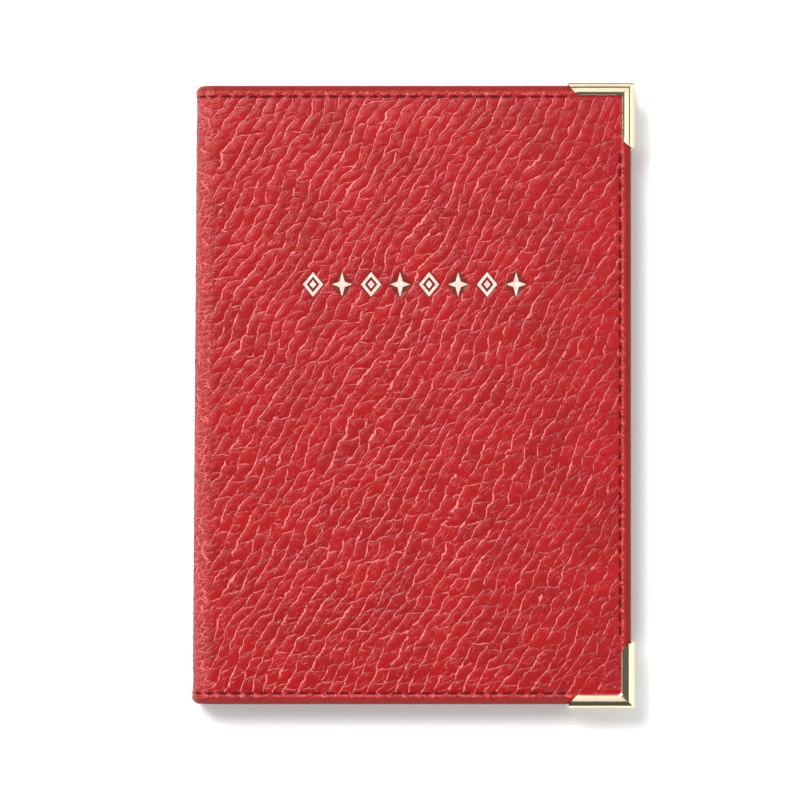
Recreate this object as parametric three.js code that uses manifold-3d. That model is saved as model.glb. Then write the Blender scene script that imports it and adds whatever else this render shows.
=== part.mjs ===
// A passport holder wallet, closed and lying on its back cover. All sizes are in millimetres.
// X runs from the spine to the fore-edge, Y from the tail to the head, and Z up through the
// thickness. The origin is below the middle of the closed wallet, on the surface it lies on.
//
// Each cover is a sandwich: pebbled leather turned in round its edges over a board, then a lining,
// then slip pockets, and metal corners pressed on at the fore-edge. The spine is the same leather
// with a strip of reinforcement, rounded, and folds along two lines as the wallet opens.

import * as THREE from "three";
import { mergeVertices } from "three/addons/utils/BufferGeometryUtils.js";
import Module from "manifold-3d";

// ---- Driving dimensions ----

const HEIGHT = 140;
const WIDTH = 99.6;
const THICKNESS = 11;

const FOLD_RADIUS = 4;
const FOLD_GAP = 0.3;
const GLUE = 0.05;

const LEATHER = 0.9;
const BOARD = 0.6;
const LINING = 0.3;
const HEM = 0.4;
const POCKET = 0.5;
const CARD_POCKET = 0.6;

const RIM = 1.5;
const HEM_WIDTH = 7;
const PLAY = 0.3;

const CORNER_PROUD = 0.7;
const CORNER_ARM = 15;
const CORNER_WIDTH = 3;
const CORNER_SLANT = 2.4;
const CORNER_WALL = 0.5;
const CORNER_PLATE = 0.45;
const CORNER_THICKNESS = 2.8;

const POCKET_WIDTH = 62;
const POCKET_INSET = 0.8;
const CARD_POCKET_HEIGHT = 94;
const CARD_POCKET_FORE_EDGE = 46;
const CARD_POCKET_REAR_WIDTH = 50;
const CARD_POCKET_FRONT_WIDTH = 40;

const SEAM_INSET = 2.3;
const THREAD_WIDTH = 0.5;
const THREAD_THICKNESS = 0.2;
const GROOVE_WIDTH = 0.6;
const GROOVE_DEPTH = 0.3;

const MARK_COUNT = 8;
const MARK_ROW = 50.6;
const MARK_HEIGHT = 5.6;
const MARK_WIDTH = 4.6;
const MARK_CENTRE_Y = 25;
const MARK_SINK = 0.2;
const FOIL = 0.1;
const STAR_WAIST = 0.3;

const ARC_STEPS = 10;

// ---- Places worked out from them ----

const HEAD_Y = HEIGHT / 2;
const SPINE_X = -WIDTH / 2;
const FOLD_X = SPINE_X + FOLD_RADIUS;
const PANEL_X = FOLD_X + FOLD_GAP;
const CORNER_X = WIDTH / 2;
const FORE_EDGE_X = CORNER_X - CORNER_PROUD;
const CORNER_Y = HEAD_Y + CORNER_PROUD;
const SEAM_Y = HEAD_Y - SEAM_INSET;
const SEAM_X = FORE_EDGE_X - SEAM_INSET;
const CORNER_END_X = CORNER_X - CORNER_ARM - PLAY;
const CORNER_END_Y = CORNER_Y - CORNER_ARM - PLAY;
const MOUTH_X = FORE_EDGE_X - POCKET_WIDTH;
const BEYOND = 1;

// Depths of each layer's two faces below the outer face of its cover.
const BOARD_TOP = LEATHER + BOARD;
const LINING_TOP = BOARD_TOP + LINING;
const HEM_TOP = LINING_TOP + HEM;
const POCKET_TOP = HEM_TOP + POCKET;
const CARD_REAR_TOP = POCKET_TOP + CARD_POCKET;
const CARD_FRONT_TOP = CARD_REAR_TOP + CARD_POCKET;

// Turns a range of depths into a range of heights, for each cover.
const backHeights = (a, b) => [a, b];
const frontHeights = (a, b) => [THICKNESS - b, THICKNESS - a];

// ---- Materials ----

const leather = new THREE.MeshStandardMaterial({ color: 0xc0302f, roughness: 0.55 });
const lining = new THREE.MeshStandardMaterial({ color: 0x9c2a2a, roughness: 0.85 });
const board = new THREE.MeshStandardMaterial({ color: 0x9a8f80, roughness: 0.9 });
const thread = new THREE.MeshStandardMaterial({ color: 0xb83436, roughness: 0.7 });
const metal = new THREE.MeshStandardMaterial({ color: 0xe2cfa6, roughness: 0.18, metalness: 1 });
const foil = new THREE.MeshStandardMaterial({ color: 0xf0d9c0, roughness: 0.35, metalness: 0.9 });

// ---- Solids ----

const wasm = await Module();
wasm.setup();

function solidFrom(geometry) {
  const bare = geometry.index ? geometry.toNonIndexed() : geometry.clone();
  bare.deleteAttribute("normal");
  bare.deleteAttribute("uv");
  const merged = mergeVertices(bare);
  const mesh = new wasm.Mesh({
    numProp: 3,
    vertProperties: merged.attributes.position.array,
    triVerts: new Uint32Array(merged.index.array),
  });
  return new wasm.Manifold(mesh);
}

function geometryFrom(solid) {
  const mesh = solid.getMesh();
  const geometry = new THREE.BufferGeometry();
  geometry.setAttribute("position", new THREE.BufferAttribute(mesh.vertProperties, 3));
  geometry.setIndex(new THREE.BufferAttribute(mesh.triVerts, 1));
  geometry.computeVertexNormals();
  return geometry;
}

function cut(geometry, ...tools) {
  let solid = solidFrom(geometry);
  for (const tool of tools) solid = solid.subtract(solidFrom(tool));
  return geometryFrom(solid);
}

function box([x0, x1], [y0, y1], [z0, z1]) {
  const geometry = new THREE.BoxGeometry(x1 - x0, y1 - y0, z1 - z0);
  return geometry.translate((x0 + x1) / 2, (y0 + y1) / 2, (z0 + z1) / 2);
}

// An outline in plan, extruded up through a range of heights.
function plate(outline, [z0, z1]) {
  const shape = new THREE.Shape(outline.map(([x, y]) => new THREE.Vector2(x, y)));
  const geometry = new THREE.ExtrudeGeometry(shape, { depth: z1 - z0, bevelEnabled: false });
  return geometry.translate(0, 0, z0);
}

// An outline in the plane of X and Z, extruded along Y.
function runAlongY(shape, [y0, y1]) {
  const geometry = new THREE.ExtrudeGeometry(shape, { depth: y1 - y0, bevelEnabled: false });
  return geometry.rotateX(Math.PI / 2).translate(0, y1, 0);
}

// ---- Covers ----

// The leather of one cover: a tray whose rim and hem are the edge turned in over the board.
function coverLeather(heights) {
  const outside = box([PANEL_X, FORE_EDGE_X], [-HEAD_Y, HEAD_Y], heights(0, HEM_TOP));
  const rimY = HEAD_Y - RIM;
  const hemY = HEAD_Y - HEM_WIDTH;
  const open = PANEL_X - BEYOND;
  const boardRoom = box([open, FORE_EDGE_X - RIM], [-rimY, rimY], heights(LEATHER, LINING_TOP));
  const window = box([open, FORE_EDGE_X - HEM_WIDTH], [-hemY, hemY], heights(BOARD_TOP, HEM_TOP + BEYOND));
  const tray = cut(outside, boardRoom, window);
  return cut(tray, ...cornerRoom(heights), ...outerGrooves(heights), ...hemGrooves(heights));
}

// A filling that lies inside the rim, between two depths.
function filling(heights, from, to) {
  const y = HEAD_Y - RIM - PLAY;
  return box([PANEL_X, FORE_EDGE_X - RIM - PLAY], [-y, y], heights(from + GLUE, to));
}

// The slip pocket that takes the passport's cover, open towards the spine.
function passportPocket(heights) {
  const y = HEAD_Y - POCKET_INSET;
  const x = FORE_EDGE_X - POCKET_INSET;
  const panel = box([MOUTH_X, x], [-y, y], heights(HEM_TOP + GLUE, POCKET_TOP));
  const groove = heights(POCKET_TOP - GROOVE_DEPTH, POCKET_TOP + BEYOND);
  return cut(panel, ...cornerRoom(heights), ...straightGrooves(MOUTH_X - BEYOND, groove));
}

// A card pocket: a panel raised on three sides, open towards the spine.
function cardPocket(heights, width, from, to) {
  const x = [CARD_POCKET_FORE_EDGE - width, CARD_POCKET_FORE_EDGE];
  const y = CARD_POCKET_HEIGHT / 2;
  const slot = (to - from) / 3;
  const panel = box(x, [-y, y], heights(from + GLUE, to));
  const room = box([x[0] - BEYOND, x[1] - RIM], [RIM - y, y - RIM], heights(from - BEYOND, from + slot));
  return cut(panel, room);
}

// ---- Metal corners ----

// An L in plan at the fore-edge, with each arm's end cut on the slant. Side is 1 at the head and -1 at the tail.
function cornerOutline(side, arm, width) {
  const inner = arm - CORNER_SLANT;
  const steps = [[0, 0], [arm, 0], [inner, width], [width, width], [width, inner], [0, arm]];
  return steps.map(([along, across]) => [CORNER_X - along, side * (CORNER_Y - across)]);
}

function metalCorner(heights, side) {
  const solid = plate(cornerOutline(side, CORNER_ARM, CORNER_WIDTH), heights(0, CORNER_THICKNESS));
  const far = CORNER_X - CORNER_ARM - BEYOND;
  const wallY = side * (CORNER_Y - CORNER_WALL);
  const farY = side * (CORNER_Y - CORNER_ARM - BEYOND);
  const acrossY = [Math.min(wallY, farY), Math.max(wallY, farY)];
  const depths = heights(CORNER_PLATE, CORNER_THICKNESS - CORNER_PLATE);
  return cut(solid, box([far, CORNER_X - CORNER_WALL], acrossY, depths));
}

// The leather is pared away above and below a tongue that the metal corner grips.
function cornerRoom(heights) {
  const tongue = CORNER_PLATE + PLAY;
  const outline = (side) => cornerOutline(side, CORNER_ARM + PLAY, CORNER_WIDTH + PLAY);
  const below = heights(-BEYOND, tongue);
  const above = heights(CORNER_THICKNESS - tongue, POCKET_TOP + BEYOND);
  return [-1, 1].flatMap((side) => [plate(outline(side), below), plate(outline(side), above)]);
}

// ---- Seams ----

const around = (middle, width) => [middle - width / 2, middle + width / 2];

// The three straight runs of a seam round a cover, from startX to the corners and up the fore-edge.
function seamRuns(startX, width, z) {
  return {
    head: box([startX, CORNER_END_X], around(SEAM_Y, width), z),
    fore_edge: box(around(SEAM_X, width), [-CORNER_END_Y, CORNER_END_Y], z),
    tail: box([startX, CORNER_END_X], around(-SEAM_Y, width), z),
  };
}

// Grooves run on under the metal corners.
function straightGrooves(startX, z) {
  const alongX = [startX, SEAM_X];
  return [
    box(alongX, around(SEAM_Y, GROOVE_WIDTH), z),
    box(alongX, around(-SEAM_Y, GROOVE_WIDTH), z),
    box(around(SEAM_X, GROOVE_WIDTH), [-SEAM_Y, SEAM_Y], z),
  ];
}

function outerGrooves(heights) {
  return straightGrooves(PANEL_X - BEYOND, heights(-BEYOND, GROOVE_DEPTH));
}

function hemGrooves(heights) {
  const z = heights(HEM_TOP - GROOVE_DEPTH, HEM_TOP + BEYOND);
  const alongX = [PANEL_X - BEYOND, MOUTH_X + BEYOND];
  return [SEAM_Y, -SEAM_Y].map((y) => box(alongX, around(y, GROOVE_WIDTH), z));
}

function needleThreads(heights) {
  const depth = GROOVE_DEPTH - GLUE;
  return seamRuns(PANEL_X, THREAD_WIDTH, heights(depth - THREAD_THICKNESS, depth));
}

// The thread inside steps up from the hem on to the pocket, just in front of the pocket's mouth.
function bobbinRun(heights, y) {
  const low = HEM_TOP - GROOVE_DEPTH + GLUE;
  const high = POCKET_TOP - GROOVE_DEPTH + GLUE;
  const riseX = MOUTH_X - GLUE - THREAD_THICKNESS;
  const steps = [
    [PANEL_X, low],
    [MOUTH_X - GLUE, low],
    [MOUTH_X - GLUE, high],
    [CORNER_END_X, high],
    [CORNER_END_X, high + THREAD_THICKNESS],
    [riseX, high + THREAD_THICKNESS],
    [riseX, low + THREAD_THICKNESS],
    [PANEL_X, low + THREAD_THICKNESS],
  ];
  const points = steps.map(([x, depth]) => new THREE.Vector2(x, heights(depth, depth)[0]));
  return runAlongY(new THREE.Shape(points), around(y, THREAD_WIDTH));
}

function bobbinThreads(heights) {
  const high = POCKET_TOP - GROOVE_DEPTH + GLUE;
  return {
    head: bobbinRun(heights, SEAM_Y),
    fore_edge: seamRuns(0, THREAD_WIDTH, heights(high, high + THREAD_THICKNESS)).fore_edge,
    tail: bobbinRun(heights, -SEAM_Y),
  };
}

// ---- Spine ----

// A band between two depths, bent round both folds of the spine, and run along Y.
// With past set, its ends run on past the folds, so that it cuts cleanly.
function spineBand(from, to, y, past = 0) {
  const shape = new THREE.Shape();
  const low = FOLD_RADIUS;
  const high = THICKNESS - FOLD_RADIUS;
  const outer = FOLD_RADIUS - from;
  const inner = FOLD_RADIUS - to;
  const quarter = Math.PI / 2;
  shape.moveTo(FOLD_X + past, low - outer);
  shape.lineTo(FOLD_X, low - outer);
  shape.absarc(FOLD_X, low, outer, -quarter, -Math.PI, true);
  shape.absarc(FOLD_X, high, outer, Math.PI, quarter, true);
  shape.lineTo(FOLD_X + past, high + outer);
  shape.lineTo(FOLD_X + past, high + inner);
  shape.lineTo(FOLD_X, high + inner);
  shape.absarc(FOLD_X, high, inner, quarter, Math.PI, false);
  shape.absarc(FOLD_X, low, inner, Math.PI, Math.PI + quarter, false);
  shape.lineTo(FOLD_X + past, low - inner);
  const geometry = new THREE.ExtrudeGeometry(shape, {
    depth: y[1] - y[0],
    bevelEnabled: false,
    curveSegments: ARC_STEPS,
  });
  return geometry.rotateX(Math.PI / 2).translate(0, y[1], 0);
}

function spineLeather() {
  const rimY = HEAD_Y - RIM;
  const hemY = HEAD_Y - HEM_WIDTH;
  const whole = spineBand(0, HEM_TOP, [-HEAD_Y, HEAD_Y]);
  const fillingRoom = spineBand(LEATHER, LINING_TOP, [-rimY, rimY], BEYOND);
  const window = spineBand(BOARD_TOP, HEM_TOP + PLAY, [-hemY, hemY], BEYOND);
  const grooves = [SEAM_Y, -SEAM_Y].flatMap((y) => [
    spineBand(-PLAY, GROOVE_DEPTH, around(y, GROOVE_WIDTH), BEYOND),
    spineBand(HEM_TOP - GROOVE_DEPTH, HEM_TOP + PLAY, around(y, GROOVE_WIDTH), BEYOND),
  ]);
  return cut(whole, fillingRoom, window, ...grooves);
}

function spineFilling(from, to) {
  const y = HEAD_Y - RIM - PLAY;
  return spineBand(from + GLUE, to - GLUE, [-y, y]);
}

// ---- Foil marks ----

// Marks take turns: a lozenge, then a star with four points.
function markOutline(index, grow) {
  const x = -MARK_ROW / 2 + MARK_WIDTH / 2 + (index * (MARK_ROW - MARK_WIDTH)) / (MARK_COUNT - 1);
  const halfX = MARK_WIDTH / 2 + grow;
  const halfY = MARK_HEIGHT / 2 + grow;
  const waist = index % 2 ? STAR_WAIST * MARK_WIDTH / 2 + grow : 0;
  const points = [];
  for (let quarter = 0; quarter < 4; quarter += 1) {
    const angle = (quarter * Math.PI) / 2;
    points.push([x + halfX * Math.cos(angle), MARK_CENTRE_Y + halfY * Math.sin(angle)]);
    if (waist) {
      const between = angle + Math.PI / 4;
      points.push([x + waist * Math.cos(between), MARK_CENTRE_Y + waist * Math.sin(between)]);
    }
  }
  return points;
}

function markRecesses() {
  const marks = [...Array(MARK_COUNT).keys()];
  return marks.map((index) => plate(markOutline(index, PLAY / 2), frontHeights(-BEYOND, MARK_SINK)));
}

// ---- The wallet ----

const wallet = new THREE.Group();

function add(name, geometry, material) {
  const mesh = new THREE.Mesh(geometry, material);
  mesh.name = name;
  wallet.add(mesh);
}

function addCover(cover, heights, outside) {
  add(`${cover}_cover_leather`, outside, leather);
  add(`${cover}_board`, filling(heights, LEATHER, BOARD_TOP), board);
  add(`${cover}_lining`, filling(heights, BOARD_TOP, LINING_TOP), lining);
  add(`${cover}_passport_pocket`, passportPocket(heights), leather);
  add(`${cover}_head_corner`, metalCorner(heights, 1), metal);
  add(`${cover}_tail_corner`, metalCorner(heights, -1), metal);
  for (const [run, geometry] of Object.entries(needleThreads(heights))) {
    add(`${cover}_needle_thread_${run}`, geometry, thread);
  }
  for (const [run, geometry] of Object.entries(bobbinThreads(heights))) {
    add(`${cover}_bobbin_thread_${run}`, geometry, thread);
  }
}

function addSpine() {
  add("spine_leather", spineLeather(), leather);
  add("spine_reinforcement", spineFilling(LEATHER, BOARD_TOP), board);
  add("spine_lining", spineFilling(BOARD_TOP, LINING_TOP), lining);
  const needle = GROOVE_DEPTH - GLUE;
  const bobbin = HEM_TOP - GROOVE_DEPTH + GLUE;
  for (const [run, seamY] of [["head", SEAM_Y], ["tail", -SEAM_Y]]) {
    const y = around(seamY, THREAD_WIDTH);
    add(`spine_needle_thread_${run}`, spineBand(needle - THREAD_THICKNESS, needle, y), thread);
    add(`spine_bobbin_thread_${run}`, spineBand(bobbin, bobbin + THREAD_THICKNESS, y), thread);
  }
}

function addCardPockets() {
  const rear = cardPocket(frontHeights, CARD_POCKET_REAR_WIDTH, POCKET_TOP, CARD_REAR_TOP);
  const front = cardPocket(frontHeights, CARD_POCKET_FRONT_WIDTH, CARD_REAR_TOP, CARD_FRONT_TOP);
  add("front_card_pocket_rear", rear, leather);
  add("front_card_pocket_front", front, leather);
}

function addFoilMarks() {
  const heights = frontHeights(MARK_SINK - GLUE - FOIL, MARK_SINK - GLUE);
  for (let index = 0; index < MARK_COUNT; index += 1) {
    add(`front_foil_mark_${index + 1}`, plate(markOutline(index, 0), heights), foil);
  }
}

addCover("back", backHeights, coverLeather(backHeights));
addSpine();
addCover("front", frontHeights, cut(coverLeather(frontHeights), ...markRecesses()));
addCardPockets();
addFoilMarks();

export default wallet;
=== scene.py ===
"""Looks of the passport holder wallet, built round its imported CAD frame.

The wallet lies closed on its back cover. Lengths here are in millimetres, as on the CAD's sheet,
and become metres where a mesh is made.

Every soft piece is made in sheet space: u runs round the cross-section from the middle of the spine
to the fore-edge, v runs up the spine, and depth goes in from the outer face of the cover.
"""

import math

import bpy
import numpy as np
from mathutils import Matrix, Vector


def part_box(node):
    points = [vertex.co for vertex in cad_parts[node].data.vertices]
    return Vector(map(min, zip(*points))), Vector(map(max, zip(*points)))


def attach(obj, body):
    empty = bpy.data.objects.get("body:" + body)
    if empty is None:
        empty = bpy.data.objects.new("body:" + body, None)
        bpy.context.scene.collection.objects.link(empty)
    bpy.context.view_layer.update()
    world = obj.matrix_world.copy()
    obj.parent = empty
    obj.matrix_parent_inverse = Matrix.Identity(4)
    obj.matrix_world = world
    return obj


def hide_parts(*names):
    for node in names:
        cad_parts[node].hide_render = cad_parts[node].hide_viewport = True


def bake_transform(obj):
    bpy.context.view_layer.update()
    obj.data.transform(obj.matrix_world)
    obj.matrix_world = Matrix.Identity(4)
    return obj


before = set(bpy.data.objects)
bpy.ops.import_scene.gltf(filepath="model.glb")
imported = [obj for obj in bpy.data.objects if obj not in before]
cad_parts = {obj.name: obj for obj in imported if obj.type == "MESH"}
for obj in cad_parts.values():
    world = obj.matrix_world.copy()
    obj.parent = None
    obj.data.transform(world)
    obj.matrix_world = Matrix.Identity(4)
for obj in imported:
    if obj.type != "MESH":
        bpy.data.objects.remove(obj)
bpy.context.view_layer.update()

# ---- Sizes taken from the frame ----

MM = 0.001


def box_mm(node):
    low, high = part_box(node)
    return np.array(low) / MM, np.array(high) / MM


SPINE_LOW, SPINE_HIGH = box_mm("spine_leather")
COVER_LOW, COVER_HIGH = box_mm("front_cover_leather")
POCKET_LOW, _ = box_mm("front_passport_pocket")
CORNER_LOW, CORNER_HIGH = box_mm("front_head_corner")

THICKNESS = SPINE_HIGH[2]
HEAD_Y = SPINE_HIGH[1]
SPINE_X = SPINE_LOW[0]
FOLD_X = SPINE_HIGH[0]
FORE_EDGE_X = COVER_HIGH[0]
FOLD_RADIUS = FOLD_X - SPINE_X
FOLD_Z = THICKNESS - FOLD_RADIUS
HALF_STRIP = THICKNESS / 2 - FOLD_RADIUS
FLAT_U = HALF_STRIP + FOLD_RADIUS * math.pi / 2
SHEET_U = FLAT_U + FORE_EDGE_X - FOLD_X
HEM_DEPTH = THICKNESS - COVER_LOW[2]
POCKET_DEPTH = THICKNESS - POCKET_LOW[2]
CORNER_X = CORNER_HIGH[0]
CORNER_Y = CORNER_HIGH[1]
CORNER_ARM = CORNER_HIGH[0] - CORNER_LOW[0]

# ---- Sizes of what only shows here ----

SEAM_INSET = 2.55
STITCH_PITCH = 3.05
# The share of the pitch that a stitch pulls down, and the stitch itself: length, width, height.
STITCH_SHARE = 0.70
STITCH_SIZE = (STITCH_PITCH * 0.86, 0.56, 0.30)
# How far the spine leans in at the head and out at the tail.
SPINE_LEAN = 0.5
# Where the cover's face ends and its rounded edge starts.
EDGE_INSET = 1.1
HEM_WIDTH = 7.0
# Spacing of the leather's mesh, height of its grain, and the run from a crease up to a pebble's top.
GRID_MM = 0.43
GRAIN_MM = 0.17
PEBBLE_DOME = 0.95
# The turned ends of the spine stand this proud. They settle between these u, and from these v out.
SPINE_END_RISE = 0.35
SPINE_END_U = (3.5, 8.5)
SPINE_END_V = (63.5, 68.8)

SIDES = {"front": ("spine", "front_cover"), "back": ("back_cover", "spine")}
ENDS = {"head": 1, "tail": -1}


def smooth_step(low, high, value):
    t = np.clip((value - low) / (high - low), 0, 1)
    return t * t * (3 - 2 * t)


def ridge(value, middle, width):
    """1 at the middle, falling away on both sides."""
    return np.exp(-(((value - middle) / width) ** 2))


# ---- Sheet space ----


def place(side, u, v, depth):
    """Points in millimetres of the row frame, for points of a cover's sheet."""
    radius = FOLD_RADIUS - depth
    angle = np.clip((u - HALF_STRIP) / FOLD_RADIUS, 0, math.pi / 2)
    x = FOLD_X - radius * np.cos(angle) + np.maximum(u - FLAT_U, 0)
    z = FOLD_Z + radius * np.sin(angle) - np.maximum(HALF_STRIP - u, 0)
    x = x + SPINE_LEAN * (v / HEAD_Y) * np.clip((FORE_EDGE_X - x) / (FORE_EDGE_X - SPINE_X), 0, 1)
    if side == "back":
        z = np.maximum(THICKNESS - z, 0)
    return np.stack([x, v + 0 * x, z], axis=-1)


def sheet_u(x):
    """u of a point on the flat of a cover, from its x."""
    return FLAT_U + x - FOLD_X


def edge_inset(u, v):
    return np.minimum(HEAD_Y - np.abs(v), SHEET_U - u)


def along_edge(u, v):
    """How far along the nearest edge a point is: its u beside the head or tail, else its v."""
    return np.where(HEAD_Y - np.abs(v) < SHEET_U - u, u, v)


def near_spine(u):
    """1 over the spine, falling to 0 on the flat of the cover."""
    return 1 - smooth_step(*SPINE_END_U, u)


def stitch_pull(along):
    """1 under the middle of each stitch of a seam, 0 in the gap between two stitches."""
    from_middle = np.abs((along / STITCH_PITCH) % 1 - 0.5) * 2
    return 1 - smooth_step(STITCH_SHARE - 0.12, STITCH_SHARE + 0.16, from_middle)


def cover_depth(u, v):
    """Depth of the outer face before its grain: padded in the middle, drawn in along the seam."""
    inset = edge_inset(u, v)
    pull = stitch_pull(along_edge(u, v))
    padding = 0.20 * (1 - smooth_step(SEAM_INSET, 10, inset))
    groove = (0.16 + 0.16 * pull) * ridge(inset, SEAM_INSET, 0.42)
    lip = (0.07 + 0.05 * pull) * ridge(inset, SEAM_INSET - 0.75, 0.34)
    band = 0.10 * np.clip((SEAM_INSET - inset) / 1.2, 0, 1) ** 2
    turned_ends = SPINE_END_RISE * smooth_step(*SPINE_END_V, np.abs(v)) * near_spine(u)
    return padding + groove - lip + band - turned_ends


# ---- Meshes in sheet space ----


def chain_of(nu, nv, closed):
    """(i, j) of the grid's edge points: along the tail, up the fore-edge, back along the head."""
    tail = [(i, 0) for i in range(nu)]
    fore_edge = [(nu - 1, j) for j in range(1, nv)]
    head = [(i, nv - 1) for i in range(nu - 2, -1, -1)]
    spine = [(0, j) for j in range(nv - 2, 0, -1)] if closed else []
    return tail + fore_edge + head + spine


def stretched(values, low, high):
    """The same values spread from low to high, with their spacing kept in proportion."""
    return low + (values - values[0]) * (high - low) / (values[-1] - values[0])


def ringed_sheet(us, vs, rings, limits, closed):
    """A grid of points with rings of edge points round and under it, closed into one body.

    limits is (u, u, v, v), the outline. Each ring is (inset, depth). Returns points as rows of
    u, v, inset, ring number, and faces. An open sheet isn't ringed along u = 0, and ends in a cap."""
    nu, nv = len(us), len(vs)
    grid_u, grid_v = (values.ravel() for values in np.meshgrid(us, vs))
    rows = [np.stack([grid_u, grid_v, 0 * grid_u, 0 * grid_u], axis=1)]
    chain = chain_of(nu, nv, closed)
    loops = [np.array([j * nu + i for i, j in chain])]
    for number, (inset, _) in enumerate(rings, 1):
        low_u = limits[0] + (inset if closed else 0)
        ring_u = stretched(us, low_u, limits[1] - inset)
        ring_v = stretched(vs, limits[2] + inset, limits[3] - inset)
        rows.append(np.array([(ring_u[i], ring_v[j], inset, number) for i, j in chain]))
        loops.append(nu * nv + (number - 1) * len(chain) + np.arange(len(chain)))
    faces = grid_faces(nu, nv) + band_faces(loops, closed) + cap_faces(loops, nu, nv, closed)
    return np.concatenate(rows), faces


def grid_faces(nu, nv):
    i, j = np.meshgrid(np.arange(nu - 1), np.arange(nv - 1))
    corner = (j * nu + i).ravel()
    return np.stack([corner, corner + 1, corner + nu + 1, corner + nu], axis=1).tolist()


def band_faces(loops, closed):
    """Faces between each ring and the next."""
    faces = []
    for inner, outer in zip(loops, loops[1:]):
        after_in, after_out = np.roll(inner, -1), np.roll(outer, -1)
        strip = np.stack([inner, outer, after_out, after_in], axis=1)
        faces += (strip if closed else strip[:-1]).tolist()
    return faces


def cap_faces(loops, nu, nv, closed):
    """Faces across the last ring, and across the open end at u = 0 of an open sheet."""
    last = loops[-1]
    tail, head = last[:nu], last[nu + nv - 2 : 2 * nu + nv - 2][::-1]
    first = 1 if closed else 0
    faces = [[tail[k + 1], tail[k], head[k], head[k + 1]] for k in range(first, nu - 2)]
    faces.append([tail[nu - 1], tail[nu - 2], head[nu - 2], *last[nu : nu + nv - 1][::-1]])
    if closed:
        faces.append([tail[1], tail[0], *last[2 * nu + nv - 2 :][::-1], head[0], head[1]])
    else:
        column = [j * nu for j in range(nv)][::-1]
        starts = [loop[0] for loop in loops[1:]]
        ends = [loop[-1] for loop in loops[:0:-1]]
        faces.append(column + starts + ends)
    return faces


def make_mesh(name, points_mm, faces, attributes=None, sharp=1.1):
    """A smooth mesh object whose faces point out. Points come in millimetres."""
    if signed_volume_sign(points_mm, faces) < 0:
        faces = [face[::-1] for face in faces]
    mesh = bpy.data.meshes.new(name)
    mesh.from_pydata((points_mm * MM).tolist(), [], faces)
    for key, values in (attributes or {}).items():
        kind = "FLOAT_VECTOR" if values.ndim == 2 else "FLOAT"
        store = mesh.attributes.new(key, kind, "POINT")
        store.data.foreach_set("vector" if values.ndim == 2 else "value", values.astype(np.float32).ravel())
    mesh.shade_smooth()
    mesh.set_sharp_from_angle(angle=sharp)
    made = bpy.data.objects.new(name, mesh)
    bpy.context.scene.collection.objects.link(made)
    return made


def signed_volume_sign(points, faces):
    """Positive when the faces point out: the sum of each face's flux, by fans from its first corner."""
    lengths = np.array([len(f) for f in faces])
    total = 0.0
    for size in np.unique(lengths):
        same = np.array([f for f in faces if len(f) == size])
        first = points[same[:, 0]]
        for k in range(1, size - 1):
            cross = np.cross(points[same[:, k]], points[same[:, k + 1]])
            total += float(np.sum(first * cross))
    return total


# ---- Node nets ----


class Net:
    """Adds nodes to a tree. An input is a number, a tuple or another node's output."""

    def __init__(self, tree):
        self.tree = tree

    def add(self, kind, inputs=(), out=0, **settings):
        node = self.tree.nodes.new(kind)
        for key, value in settings.items():
            setattr(node, key, value)
        for key, value in dict(inputs).items():
            if isinstance(value, bpy.types.NodeSocket):
                self.tree.links.new(value, node.inputs[key])
            else:
                node.inputs[key].default_value = value
        return node.outputs[out]

    def math(self, operation, a, b=0.0):
        return self.add("ShaderNodeMath", {0: a, 1: b}, operation=operation)

    def vector(self, operation, a, b=(0, 0, 0)):
        return self.add("ShaderNodeVectorMath", {0: a, 1: b}, operation=operation)

    def dot(self, a, b):
        return self.add("ShaderNodeVectorMath", {0: a, 1: b}, out=1, operation="DOT_PRODUCT")

    def scaled(self, a, factor):
        return self.add("ShaderNodeVectorMath", {0: a, "Scale": factor}, operation="SCALE")

    def ramp(self, value, low, high, to_low=0.0, to_high=1.0):
        inputs = {0: value, 1: low, 2: high, 3: to_low, 4: to_high}
        return self.add("ShaderNodeMapRange", inputs, interpolation_type="SMOOTHSTEP")

    def noise(self, vector, scale, detail=2.0, roughness=0.5, out=0):
        inputs = {"Vector": vector, "Scale": scale, "Detail": detail, "Roughness": roughness}
        return self.add("ShaderNodeTexNoise", inputs, out=out, noise_dimensions="3D")

    def cells(self, vector, randomness=1.0):
        """Distance to the nearest edge between cells, in cells."""
        inputs = {"Vector": vector, "Scale": 1.0, "Randomness": randomness}
        kind = {"feature": "DISTANCE_TO_EDGE", "voronoi_dimensions": "2D"}
        return self.add("ShaderNodeTexVoronoi", inputs, **kind)

    def parts(self, vector):
        return [self.add("ShaderNodeSeparateXYZ", {0: vector}, out=k) for k in range(3)]

    def mix_colour(self, factor, a, b):
        node = self.tree.nodes.new("ShaderNodeMix")
        node.data_type = "RGBA"
        for socket, value in ((node.inputs[0], factor), (node.inputs[6], a), (node.inputs[7], b)):
            if isinstance(value, bpy.types.NodeSocket):
                self.tree.links.new(value, socket)
            else:
                socket.default_value = value
        return node.outputs[2]


# ---- Pebble grain, the same in the mesh and in the material ----

# Each lattice is the two edges of a typical pebble, in millimetres of the sheet.
PEBBLES = ((3.45, 0.85), (2.30, 4.30))
FOLD_PEBBLES = ((4.6, 0.2), (2.2, 2.1))
WRINKLES = ((1.35, 0.30), (0.95, 1.75))
FINE_GRAIN = ((0.85, 0.10), (0.20, 0.95))


def lattice_point(net, sheet, lattice):
    """The sheet's coordinates counted in pebbles."""
    (ax, ay), (bx, by) = lattice
    area = ax * by - ay * bx
    across = net.dot(sheet, (by / area, -bx / area, 0))
    up = net.dot(sheet, (-ay / area, ax / area, 0))
    return net.add("ShaderNodeCombineXYZ", {0: across, 1: up}), math.sqrt(area)


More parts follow.
